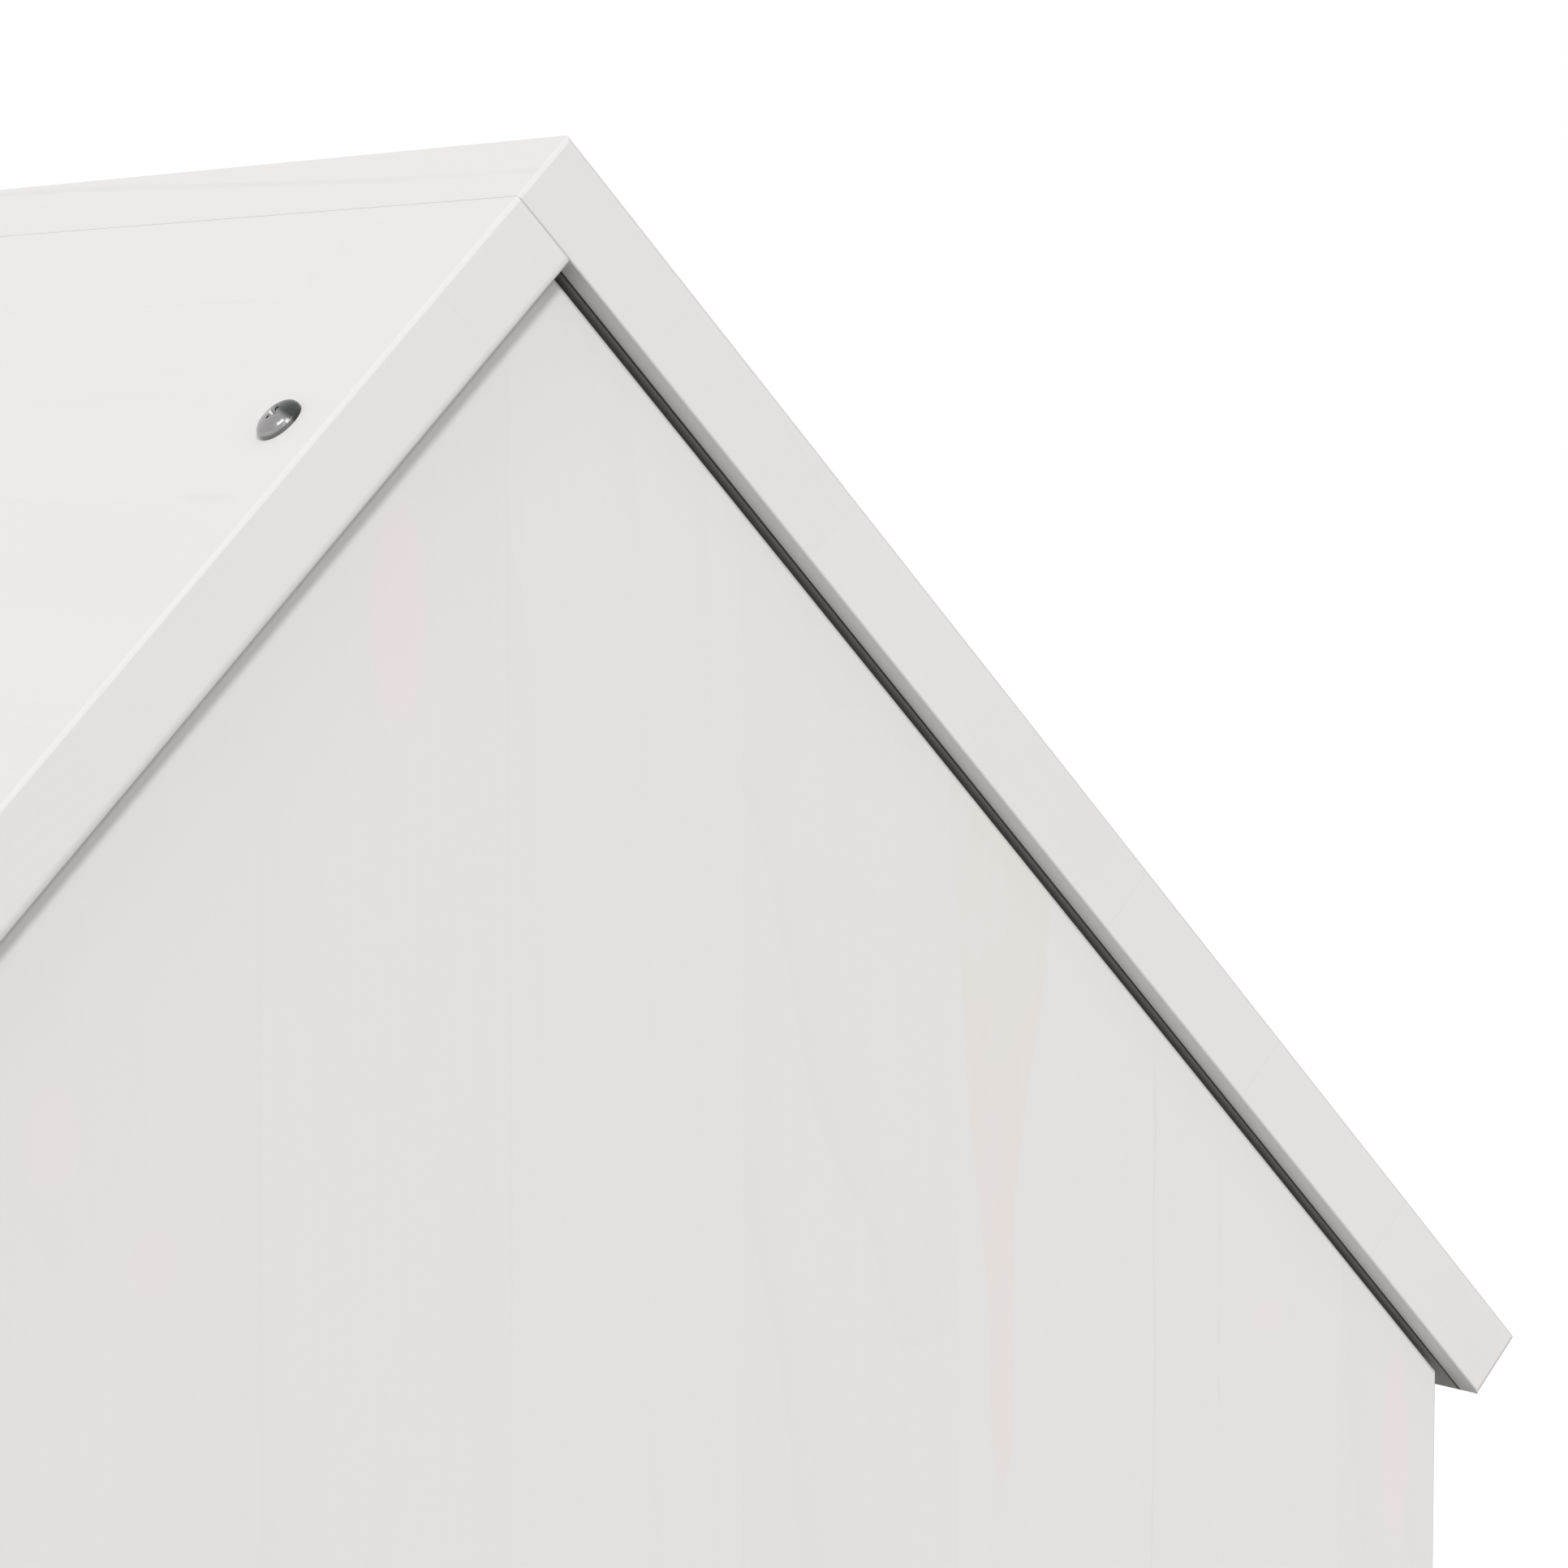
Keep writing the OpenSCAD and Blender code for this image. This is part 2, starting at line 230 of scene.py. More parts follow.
    white = node(tree, "ShaderNodeVectorMath", {0: WHITE_PAINT, "Scale": light}, operation="SCALE")
    colour = blend(tree, pink, blend(tree, warm, white, RESIN_TINT), PINK_TINT)
    # Painted shade inside the gap under the roof, with its painted shadow line
    if gap_shade:
        gap_shaded, shadow_line = gap_shade(tree, place)
        colour = blend(tree, gap_shaded, colour, blend(tree, shadow_line, PAINTED_GAP_SHADE, PAINTED_GAP_SHADOW))
    plug(tree, shader.inputs["Base Color"], colour)
    plug(tree, shader.inputs["Normal"], node(tree, "ShaderNodeBump", {"Height": depth, "Distance": 0.001}))
    sheen_spots = noise(tree, moved, (60, 60, 20))
    plug(tree, shader.inputs["Roughness"], ramp(tree, sheen_spots, 0.3, 0.7, *PAINT_ROUGHNESS))
    return material


def below_roof(tree, place):
    """How far a place lies below the outer faces of the roof, square to them"""
    x, y, z = node(tree, "ShaderNodeSeparateXYZ", {0: place}).outputs
    rise = calc(tree, "MULTIPLY_ADD", calc(tree, "ABSOLUTE", x), math.tan(PITCH), z)
    return calc(tree, "MULTIPLY", calc(tree, "SUBTRACT", RIDGE_HEIGHT, rise), math.cos(PITCH))


def shade_sawn_slope(tree, place):
    """The gable's sawn slopes under the roof, coloured dark as painted shade of the gap above them"""
    sawn = ROOF_BOARD + SHADOW_GAP
    return ramp(tree, below_roof(tree, place), sawn + 0.0001, sawn + 0.00003), 0.0


def front_marks(tree, place):
    """The gable's resin streak, its soft pink patches and the fine cracks beside one glue line

    x and z are the place across the gable and its height, in metres.
    """
    x, y, z = node(tree, "ShaderNodeSeparateXYZ", {0: place}).outputs
    wander = calc(tree, "MULTIPLY_ADD", noise(tree, place, (220, 1, 34)), 0.003, -0.0015)
    x = calc(tree, "ADD", x, wander)
    left_edge = ramp(tree, z, 0.186, 0.322, 0.0978, 0.0871)
    right_foot = ramp(tree, z, 0.180, 0.200, 0.0985, 0.1030)
    right_edge = calc(tree, "ADD", right_foot, ramp(tree, z, 0.238, 0.300, 0.0, 0.0090))
    left = calc(tree, "DIVIDE", calc(tree, "SUBTRACT", x, left_edge), RESIN_FADE, clamp=True)
    right = calc(tree, "DIVIDE", calc(tree, "SUBTRACT", right_edge, x), RESIN_FADE, clamp=True)
    warm = calc(tree, "MULTIPLY", calc(tree, "MULTIPLY", left, right), ramp(tree, z, 0.182, 0.196))
    warm = calc(tree, "MULTIPLY", warm, ramp(tree, noise(tree, place, (260, 1, 60)), 0.3, 0.7, 0.6, 1.0))
    warm = calc(tree, "MULTIPLY", warm, ramp(tree, z, 0.310, 0.260, 0.58, 1.0))
    pink = calc(tree, "MULTIPLY", warm, ramp(tree, z, 0.30, 0.22, 0.0, 0.6))
    for mark_x, mark_z, half_width, half_height, strength in PINK_PATCHES:
        aside = calc(tree, "DIVIDE", calc(tree, "SUBTRACT", x, mark_x), half_width)
        up = calc(tree, "DIVIDE", calc(tree, "SUBTRACT", z, mark_z), half_height)
        reach = calc(tree, "MULTIPLY_ADD", aside, aside, calc(tree, "MULTIPLY", up, up))
        pink = calc(tree, "MAXIMUM", pink, ramp(tree, reach, 1.5, 0.3, 0.0, strength))
    glue_line = hairline(tree, x, FRONT_GLUE_CRACK, CRACK_CORE, CRACK_FADE)
    glue_line = calc(tree, "MULTIPLY", glue_line, ramp(tree, z, 0.280, 0.262))
    crack = hairline(tree, x, FRONT_SHORT_CRACK, CRACK_CORE, CRACK_FADE)
    crack = calc(tree, "MULTIPLY", crack, ramp(tree, z, 0.250, 0.240))
    crack = calc(tree, "MULTIPLY", crack, ramp(tree, noise(tree, place, (90, 1, 90)), 0.42, 0.55))
    return warm, pink, calc(tree, "MULTIPLY", calc(tree, "MAXIMUM", glue_line, crack), 1.8)


def board(bm, outline, front, back, rims):
    """Runs an outline in X and Z from front to back. rims has the easing of the rims at each side of it"""
    name = "bevel_weight_edge"
    weight = bm.edges.layers.float.get(name) or bm.edges.layers.float.new(name)
    rings = [[bm.verts.new((x, y, z)) for x, z in outline] for y in (front, back)]
    bm.faces.new(rings[0])
    bm.faces.new(rings[1])
    for i, rim in enumerate(rims):
        j = (i + 1) % len(outline)
        bm.faces.new((rings[0][i], rings[0][j], rings[1][j], rings[1][i]))
        for ring in rings:
            bm.edges.get((ring[i], ring[j]))[weight] = rim / EASE


def board_piece(name, bm, material, cad_node, arris=ARRIS):
    """Makes the mesh a piece that stands for its CAD node, with rounded rims and corners"""
    bmesh.ops.recalc_face_normals(bm, faces=bm.faces)
    weight = bm.edges.layers.float["bevel_weight_edge"]
    for edge in bm.edges:
        runs_back = abs(edge.verts[0].co.y - edge.verts[1].co.y) > EASE
        if runs_back and edge[weight] == 0 and edge.calc_face_angle() > math.radians(20):
            edge[weight] = arris / EASE
    mesh = bpy.data.meshes.new(name)
    bm.to_mesh(mesh)
    bm.free()
    mesh.materials.append(material)
    mesh.shade_smooth()
    piece = bpy.data.objects.new(name, mesh)
    bpy.context.scene.collection.objects.link(piece)
    rounding = piece.modifiers.new("eased_edges", "BEVEL")
    rounding.width = EASE
    rounding.segments = EASE_STEPS
    rounding.limit_method = "WEIGHT"
    rounding.harden_normals = True
    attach(piece, "root")
    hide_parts(cad_node)


arch_radius = DOOR_WIDTH / 2
spring = SILL_HEIGHT + DOOR_HEIGHT - arch_radius
arch = [math.pi / 2 * i / ARCH_STEPS for i in range(ARCH_STEPS, -1, -1)]
half_gable = [(0, 0), (wall_x, 0), (wall_x, gable_shoulder), (0, gable_peak)]
half_gable += [(arch_radius * math.cos(a), spring + arch_radius * math.sin(a)) for a in arch]
half_gable += [(arch_radius, SILL_HEIGHT), (0, SILL_HEIGHT)]
half_rims = [WALL_EASE, WALL_EASE, EASE, 0] + [EASE] * (ARCH_STEPS + 2) + [0]

bm = bmesh.new()
for side in (1, -1):
    board(bm, [(side * x, z) for x, z in half_gable], gable_low.y, gable_high.y, half_rims)
halving = [face for face in bm.faces if all(abs(v.co.x) < 1e-6 for v in face.verts)]
bmesh.ops.delete(bm, geom=halving, context="FACES_ONLY")
bmesh.ops.remove_doubles(bm, verts=bm.verts, dist=1e-6)
front_pine = painted_pine(
    "painted_front_gable", (1, 0, 0), (0, 0, 1), 3, FRONT_JOINT, front_marks, shade_sawn_slope
)
board_piece("front_gable_board", bm, front_pine, "front_gable")

# Rear gable
# The same pentagon of glued pine without a doorway, painted on both faces.
# It closes the back of the house and is screwed to the two rear battens from inside.
rear_low, rear_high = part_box("rear_gable")
pentagon = [(-wall_x, 0), (wall_x, 0), (wall_x, gable_shoulder), (0, gable_peak), (-wall_x, gable_shoulder)]
bm = bmesh.new()
board(bm, pentagon, rear_low.y, rear_high.y, [WALL_EASE, WALL_EASE, EASE, EASE, WALL_EASE])
rear_pine = painted_pine("painted_rear_gable", (1, 0, 0), (0, 0, 1), 21, 0.012, gap_shade=shade_sawn_slope)
board_piece("rear_gable_board", bm, rear_pine, "rear_gable")

# Side walls
# Two pine panels with level grain between the gables, their tops planed to the slope of the roof.
# They carry the roof panels, and are screwed to the corner battens from inside.
inner_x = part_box("right_side_wall")[0].x
wall_top = under_ridge - wall_x * math.tan(PITCH)
wall_top_in = under_ridge - inner_x * math.tan(PITCH)

for side, word, seed in ((-1, "left", 40), (1, "right", 57)):
    low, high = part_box(word + "_side_wall")
    outline = [(inner_x, 0), (wall_x, 0), (wall_x, wall_top), (inner_x, wall_top_in)]
    bm = bmesh.new()
    board(bm, [(side * x, z) for x, z in outline], low.y, high.y, [WALL_EASE] * 4)
    pine = painted_pine("painted_" + word + "_wall", (0, 0, 1), (0, 1, 0), seed, 0.031)
    board_piece(word + "_wall_board", bm, pine, word + "_side_wall")

# Corner battens
# Four square strips of pine, one in each corner of the cabin, standing on the floor panel.
# Each is screwed from inside into a gable and a side wall, and so ties the four walls together.
STRIP_EASE = 0.001

batten_pine = painted_pine("painted_battens", (1, 0, 0), (0, 0, 1), 70, 0.004)
for word in ("front_left", "front_right", "rear_left", "rear_right"):
    low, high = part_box(word + "_batten")
    outline = [(low.x, low.z), (high.x, low.z), (high.x, high.z), (low.x, high.z)]
    bm = bmesh.new()
    board(bm, outline, low.y, high.y, [STRIP_EASE] * 4)
    board_piece(word + "_corner_batten", bm, batten_pine, word + "_batten", STRIP_EASE)

# Batten screws
# Zinc-plated pan-head wood screws with a cross recess, two in each batten towards the gable and two
# towards the side wall. Their heads are inside the cabin, and both rows miss each other in height.
HEAD_WIDTH = 0.0086
HEAD_HEIGHT = 0.0023
HEAD_RIM = 0.0003
SUNK_WIDTH = 0.0076
SUNK_PROUD = 0.0001
CORE_WIDTH = 0.0026
THREAD_WIDTH = 0.0040
THREAD_STEP = 0.0019
SCREW_TIP = 0.0050
PLAIN_NECK = 0.0080
HEAD_RINGS = 16
ROUND_STEPS = 36
ROWS_A_TURN = 5
RECESS_WIDTH = 0.0040
RECESS_SLOT = 0.0009
RECESS_DEPTH = 0.0013
SECOND_SLOT = 1.05
PIT_DEPTH = 0.0015
SHARP = math.radians(32)
RIM_ROUNDNESS = 0.85
DOME_ROUNDNESS = 0.75
TIP_ROUNDNESS = 0.7
RECESS_TAPER = 0.42
PIT_SIDES = 12
PIT_FLARE = 1.2
WELD = 0.000008
BATTEN_SCREW = 0.029
SCREW_FROM_END = 0.025
ZINC = (0.31, 0.31, 0.31, 1)
# Painted reflection: the dark of a studio that the plating would mirror, put on the head's flank, its recess
# and one side
PAINTED_DARK_REFLECTION = (0.070, 0.073, 0.072, 1)
ZINC_ROUGHNESS = (0.16, 0.27)


def zinc_plate():
    """Bright zinc with painted dark reflections on the rim, in the recess and on one side of the head, partly
    random in tone, with rub marks
    """
    material = bpy.data.materials.new("zinc_plate")
    material.use_nodes = True
    tree = material.node_tree
    shader = tree.nodes["Principled BSDF"]
    shader.inputs["Metallic"].default_value = 1.0
    place = node(tree, "ShaderNodeTexCoord").outputs["Object"]
    shaded_flank = node(tree, "ShaderNodeAttribute", attribute_name="shaded_flank").outputs["Fac"]
    dark_side = node(tree, "ShaderNodeAttribute", attribute_name="dark_side").outputs["Fac"]
    cloud = calc(tree, "SUBTRACT", noise(tree, place, (170, 170, 170), 3), 0.5)
    # painted dark reflection on the steep flank and on one side of the head, broken by random tone
    dark_reflection = calc(tree, "MAXIMUM", ramp(tree, shaded_flank, 0.6, 1.0, 0.0, 0.5), ramp(tree, dark_side, 0.0, 0.35))
    dark_reflection = calc(tree, "MULTIPLY_ADD", cloud, 0.4, dark_reflection, clamp=True)
    plug(tree, shader.inputs["Base Color"], blend(tree, dark_reflection, ZINC, PAINTED_DARK_REFLECTION))
    rub = noise(tree, place, (900, 900, 900), 4)
    plug(tree, shader.inputs["Roughness"], ramp(tree, rub, 0.3, 0.7, *ZINC_ROUGHNESS))
    plug(tree, shader.inputs["Normal"], node(tree, "ShaderNodeBump", {"Height": rub, "Distance": 0.00003}))
    return material


def screw_blank(tree, length, width, dome, rim_top, rim_foot, neck):
    """Head and threaded shank as one skin: a grid of rows turned about Z. The rows on the shank climb"""
    turns = calc(tree, "ADD", calc(tree, "CEIL", calc(tree, "DIVIDE", length, THREAD_STEP)), 1)
    rows = calc(tree, "MULTIPLY_ADD", turns, ROWS_A_TURN, HEAD_RINGS + 1)
    last = calc(tree, "SUBTRACT", rows, 1)
    size = {"Size X": last, "Size Y": 1.0, "Vertices X": rows, "Vertices Y": ROUND_STEPS + 1}
    grid = node(tree, "GeometryNodeMeshGrid", size)
    flat = node(tree, "ShaderNodeSeparateXYZ", {0: node(tree, "GeometryNodeInputPosition")}).outputs
    row = calc(tree, "ROUND", calc(tree, "MULTIPLY_ADD", last, 0.5, flat[0]))
    share = calc(tree, "ADD", flat[1], 0.5)
    angle = calc(tree, "MULTIPLY", share, 2 * math.pi)

    tilt = calc(tree, "MULTIPLY", calc(tree, "DIVIDE", row, HEAD_RINGS - 2, clamp=True), math.pi / 2)
    rim_share = calc(tree, "POWER", calc(tree, "SINE", tilt), RIM_ROUNDNESS)
    head_r = calc(tree, "MULTIPLY", rim_share, width)
    head_r = calc(tree, "DIVIDE", head_r, 2)
    dome_share = calc(tree, "POWER", calc(tree, "COSINE", tilt), DOME_ROUNDNESS)
    head_z = calc(tree, "MULTIPLY_ADD", dome_share, dome, rim_top)
    below_rim = calc(tree, "GREATER_THAN", row, HEAD_RINGS - 1.5)
    head_z = node(tree, "ShaderNodeMix", {0: below_rim, 2: head_z, 3: rim_foot})

    step = calc(tree, "SUBTRACT", row, HEAD_RINGS)
    back = calc(tree, "MULTIPLY", calc(tree, "SUBTRACT", share, 1), ROWS_A_TURN)
    deep = calc(tree, "MULTIPLY", calc(tree, "ADD", step, back), THREAD_STEP / ROWS_A_TURN)
    deep = calc(tree, "MINIMUM", calc(tree, "MAXIMUM", deep, 0.0), length)
    in_turn = calc(tree, "FLOORED_MODULO", step, ROWS_A_TURN)
    crest = calc(tree, "COMPARE", in_turn, 2.0, 0.1)
    crest = calc(tree, "MULTIPLY", crest, ramp(tree, deep, PLAIN_NECK, PLAIN_NECK + THREAD_STEP))
    shank_r = calc(tree, "MULTIPLY_ADD", crest, (THREAD_WIDTH - CORE_WIDTH) / 2, CORE_WIDTH / 2)
    to_tip = calc(tree, "DIVIDE", calc(tree, "SUBTRACT", length, deep), SCREW_TIP, clamp=True)
    shank_r = calc(tree, "MULTIPLY", shank_r, calc(tree, "POWER", to_tip, TIP_ROUNDNESS))

    on_shank = calc(tree, "GREATER_THAN", row, HEAD_RINGS - 0.5)
    r = node(tree, "ShaderNodeMix", {0: on_shank, 2: head_r, 3: shank_r})
    z = node(tree, "ShaderNodeMix", {0: on_shank, 2: head_z, 3: calc(tree, "SUBTRACT", neck, deep)})
    x = calc(tree, "MULTIPLY", r, calc(tree, "COSINE", angle))
    y = calc(tree, "MULTIPLY", r, calc(tree, "SINE", angle))
    turned = node(tree, "ShaderNodeCombineXYZ", {0: x, 1: y, 2: z})
    skin = node(tree, "GeometryNodeSetPosition", {"Geometry": grid, "Position": turned})
    return node(tree, "GeometryNodeMergeByDistance", {"Geometry": skin, "Distance": WELD})


def cross_recess(tree, blank, top):
    """Cuts two tapered slots and a pointed pit into the head"""
    bar = node(tree, "GeometryNodeMeshCube", {"Size": (RECESS_WIDTH, RECESS_SLOT, 2 * RECESS_DEPTH)})
    place = node(tree, "ShaderNodeSeparateXYZ", {0: node(tree, "GeometryNodeInputPosition")}).outputs
    narrow = ramp(tree, place[2], -RECESS_DEPTH, 0.0, RECESS_TAPER, 1.0)
    x, y = calc(tree, "MULTIPLY", place[0], narrow), calc(tree, "MULTIPLY", place[1], narrow)
    tapered = node(tree, "ShaderNodeCombineXYZ", {0: x, 1: y, 2: place[2]})
    blade = node(tree, "GeometryNodeSetPosition", {"Geometry": bar, "Position": tapered})
    seat = {"Geometry": blade, "Translation": node(tree, "ShaderNodeCombineXYZ", {2: top})}
    bar = node(tree, "GeometryNodeTransform", seat)
    seat.update({"Rotation": (0, 0, math.pi / 2), "Scale": (1, 1, SECOND_SLOT)})
    cross_bar = node(tree, "GeometryNodeTransform", seat)
    pit_size = {"Vertices": PIT_SIDES, "Radius Top": PIT_DEPTH * PIT_FLARE}
    pit_size.update({"Radius Bottom": 0.0, "Depth": 2 * PIT_DEPTH})
    pit = node(tree, "GeometryNodeMeshCone", pit_size)
    pit_foot = node(tree, "ShaderNodeCombineXYZ", {2: calc(tree, "SUBTRACT", top, PIT_DEPTH)})
    pit = node(tree, "GeometryNodeTransform", {"Geometry": pit, "Translation": pit_foot})
    cut = node(tree, "GeometryNodeMeshBoolean", {"Mesh 1": blank}, operation="DIFFERENCE")
    for tool in (bar, cross_bar, pit):
        tree.links.new(tool.outputs[0], cut.inputs["Mesh 2"])
    return cut


def screw_tree():
    """Wood screws on the points of a mesh, along their axis and turned by their spin"""
    tree = bpy.data.node_groups.new("wood_screws", "GeometryNodeTree")
    sizes = ("Length", "Width", "Dome", "Rim top", "Rim foot", "Neck")
    tree.interface.new_socket("Seats", in_out="INPUT", socket_type="NodeSocketGeometry")
    for name in sizes:
        tree.interface.new_socket(name, in_out="INPUT", socket_type="NodeSocketFloat")
    tree.interface.new_socket("Plating", in_out="INPUT", socket_type="NodeSocketMaterial")
    tree.interface.new_socket("Screws", in_out="OUTPUT", socket_type="NodeSocketGeometry")
    given = tree.nodes.new("NodeGroupInput").outputs
    blank = screw_blank(tree, *[given[name] for name in sizes])
    screw = cross_recess(tree, blank, calc(tree, "ADD", given["Dome"], given["Rim top"]))
    soft = calc(tree, "LESS_THAN", node(tree, "GeometryNodeInputMeshEdgeAngle"), SHARP)
    shading = {"Geometry": screw, "Shade Smooth": soft}
    screw = node(tree, "GeometryNodeSetShadeSmooth", shading, domain="EDGE")
    # Masks for the painted dark reflections: the steep flank and recess walls, and the side of the head
    # towards +X
    up = node(tree, "ShaderNodeSeparateXYZ", {0: node(tree, "GeometryNodeInputNormal")}).outputs[2]
    shaded_flank = {"Geometry": screw, "Name": "shaded_flank", "Value": calc(tree, "SUBTRACT", 1.0, up, clamp=True)}
    screw = node(tree, "GeometryNodeStoreNamedAttribute", shaded_flank, domain="FACE")
    aside = node(tree, "ShaderNodeSeparateXYZ", {0: node(tree, "GeometryNodeInputPosition")}).outputs[0]
    dark_side = {"Geometry": screw, "Name": "dark_side", "Value": calc(tree, "DIVIDE", aside, HEAD_WIDTH / 2)}
    screw = node(tree, "GeometryNodeStoreNamedAttribute", dark_side, domain="POINT")

    axis = node(tree, "GeometryNodeInputNamedAttribute", {"Name": "axis"}, data_type="FLOAT_VECTOR")
    spin = node(tree, "GeometryNodeInputNamedAttribute", {"Name": "spin"}, data_type="FLOAT")
    turn = node(tree, "FunctionNodeAxisAngleToRotation", {"Axis": (0, 0, 1), "Angle": spin})
    aim = node(tree, "FunctionNodeAlignRotationToVector", {"Vector": axis}, axis="Z")
    aim = node(tree, "FunctionNodeRotateRotation", {0: aim, 1: turn}, rotation_space="LOCAL")
    placing = {"Points": given["Seats"], "Instance": screw, "Rotation": aim}
    screws = node(tree, "GeometryNodeInstanceOnPoints", placing)
    screws = node(tree, "GeometryNodeRealizeInstances", {"Geometry": screws})
    screws = node(tree, "GeometryNodeSetMaterial", {"Geometry": screws, "Material": given["Plating"]})
    node(tree, "NodeGroupOutput", {"Screws": screws})
    return tree


def drive_screws(name, seats, length, cad_node, sunk=False):
    """seats has a point on the board, the way out of it and the recess's turn for each screw"""
    mesh = bpy.data.meshes.new(name)
    mesh.from_pydata([point for point, out, spin in seats], [], [])
    mesh.attributes.new("axis", "FLOAT_VECTOR", "POINT")
    mesh.attributes.new("spin", "FLOAT", "POINT")
    for i, (point, out, spin) in enumerate(seats):
        mesh.attributes["axis"].data[i].vector = out
        mesh.attributes["spin"].data[i].value = math.radians(spin)
    piece = bpy.data.objects.new(name, mesh)
    bpy.context.scene.collection.objects.link(piece)
    modifier = piece.modifiers.new("wood_screws", "NODES")
    modifier.node_group = wood_screws
    shape = {"Length": length, "Width": HEAD_WIDTH, "Dome": HEAD_HEIGHT - HEAD_RIM, "Rim top": HEAD_RIM}
    shape.update({"Rim foot": 0.0, "Neck": 0.0})
    if sunk:
        cone = (SUNK_WIDTH - CORE_WIDTH) / 2
        shape.update({"Width": SUNK_WIDTH, "Dome": 0.0, "Rim top": SUNK_PROUD, "Neck": -cone})
    shape["Plating"] = zinc
    for item in wood_screws.interface.items_tree:
        if item.name in shape:
            modifier[item.identifier] = shape[item.name]
    bpy.context.view_layer.update()
    solid = bpy.data.meshes.new_from_object(piece.evaluated_get(bpy.context.evaluated_depsgraph_get()))
    solid.materials.pop(index=0)
    piece.modifiers.remove(modifier)
    piece.data = solid
    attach(piece, "root")
    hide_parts(cad_node)


wood_screws = screw_tree()
zinc = zinc_plate()
hand = random.Random(11)
gable_seats, side_seats = [], []
for word in ("front_left", "front_right", "rear_left", "rear_right"):
    low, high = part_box(word + "_batten")
    middle = (low + high) / 2
    inside = Vector((-math.copysign(1, middle.x), -math.copysign(1, middle.y)))
    face = middle.xy + inside * (high.x - low.x) / 2
    for z in (low.z + SCREW_FROM_END, high.z - SCREW_FROM_END):
        gable_seats.append(((middle.x, face.y, z), (0, inside.y, 0), hand.uniform(0, 90)))
    for z in (low.z + 2 * SCREW_FROM_END, high.z - 2 * SCREW_FROM_END):
        side_seats.append(((face.x, middle.y, z), (inside.x, 0, 0), hand.uniform(0, 90)))
drive_screws("gable_batten_wood_screws", gable_seats, BATTEN_SCREW, "gable_batten_screws")
drive_screws("side_batten_wood_screws", side_seats, BATTEN_SCREW, "side_batten_screws")

# Bearers
# Three flat pine strips on the ground between the side walls, with the floor panel lying on them.
# A screw through each side wall holds each of their ends.
bearer_pine = painted_pine("painted_bearers", (0, 1, 0), (1, 0, 0), 80, 0.01)
bearers = [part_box(word + "_bearer") for word in ("front", "middle", "rear")]
for word, (low, high) in zip(("front", "middle", "rear"), bearers):
    outline = [(low.x, low.z), (high.x, low.z), (high.x, high.z), (low.x, high.z)]
    bm = bmesh.new()
    board(bm, outline, low.y, high.y, [STRIP_EASE] * 4)
    board_piece(word + "_bearer_strip", bm, bearer_pine, word + "_bearer", STRIP_EASE)

# Bearer screws
# The same screws, longer, driven from outside through the side walls into the end grain of the bearers.
# One holds each end of a bearer.
LONG_SCREW = 0.035

seats = []
for low, high in bearers:
    for side in (-1, 1):
        point = (side * wall_x, (low.y + high.y) / 2, (low.z + high.z) / 2)
        seats.append((point, (side, 0, 0), hand.uniform(0, 90)))
drive_screws("bearer_wood_screws", seats, LONG_SCREW, "bearer_screws")

# Floor panel
# One thinner pine panel that fills the cabin with a little room to swell, its grain from front to rear.
# It lies on the three bearers.
low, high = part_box("floor_panel")
floor_top = high.z
outline = [(low.x, low.z), (high.x, low.z), (high.x, high.z), (low.x, high.z)]
bm = bmesh.new()
board(bm, outline, low.y, high.y, [STRIP_EASE] * 4)
floor_pine = painted_pine("painted_floor", (1, 0, 0), (0, 1, 0), 90, 0.02)
board_piece("floor_board", bm, floor_pine, "floor_panel", STRIP_EASE)

# Floor screws
# Short countersunk screws, all but level with the panel so that a paw feels nothing.
# Two go down into each bearer.
FLOOR_SCREW = 0.021
FLOOR_SCREW_IN = 0.060

seats = []
for low, high in bearers:
    for side in (-1, 1):
        point = (side * (inner_x - FLOOR_SCREW_IN), (low.y + high.y) / 2, floor_top)
        seats.append((point, (0, 0, 1), hand.uniform(0, 90)))
drive_screws("floor_wood_screws", seats, FLOOR_SCREW, "floor_screws", sunk=True)

# Roof panels
# Two pine panels with the grain along the ridge. The right one runs up to the ridge and laps over the
# upper end of the left one, which stops on its underside. Both rest on the planed tops of the side walls.
ROOF_WIDTH = 0.465
OUTER_EASE = 0.0008
JOINT_EASE = 0.00022
JOINT_ARRIS = 0.00012
JOINT_SHADE = 0.0007
JOINT_DIP = 0.5
RIDGE_CRACK_FRONT = 0.0086
RIDGE_CRACK_BACK = 0.0016
KNOT_DOWN = 0.0855
KNOT_Y = -0.232
UNDER_EASE = 0.0005
PLANED_AT_RIDGE = 0.0010
PLANED_AT_EAVE = 0.0017
PLANED_LEAN = math.radians(18)
# Depth and width of the painted shade in the gap and of its painted shadow line
GAP_SHADE_DEPTH = 0.0002
GAP_SHADOW_WIDTH = 0.0008

slope = Vector((math.cos(PITCH), -math.sin(PITCH)))
inward = Vector((-math.sin(PITCH), -math.cos(PITCH)))
apex = Vector((0, RIDGE_HEIGHT))
eave = apex + slope * ROOF_WIDTH / 2 / math.cos(PITCH)
eave_inner = eave + inward * ROOF_BOARD
lap = apex + Vector((-slope.x, slope.y)) * ROOF_BOARD / math.sin(2 * PITCH)
inner_apex = Vector((0, under_ridge))
left_eave, left_eave_inner = Vector((-eave.x, eave.y)), Vector((-eave_inner.x, eave_inner.y))


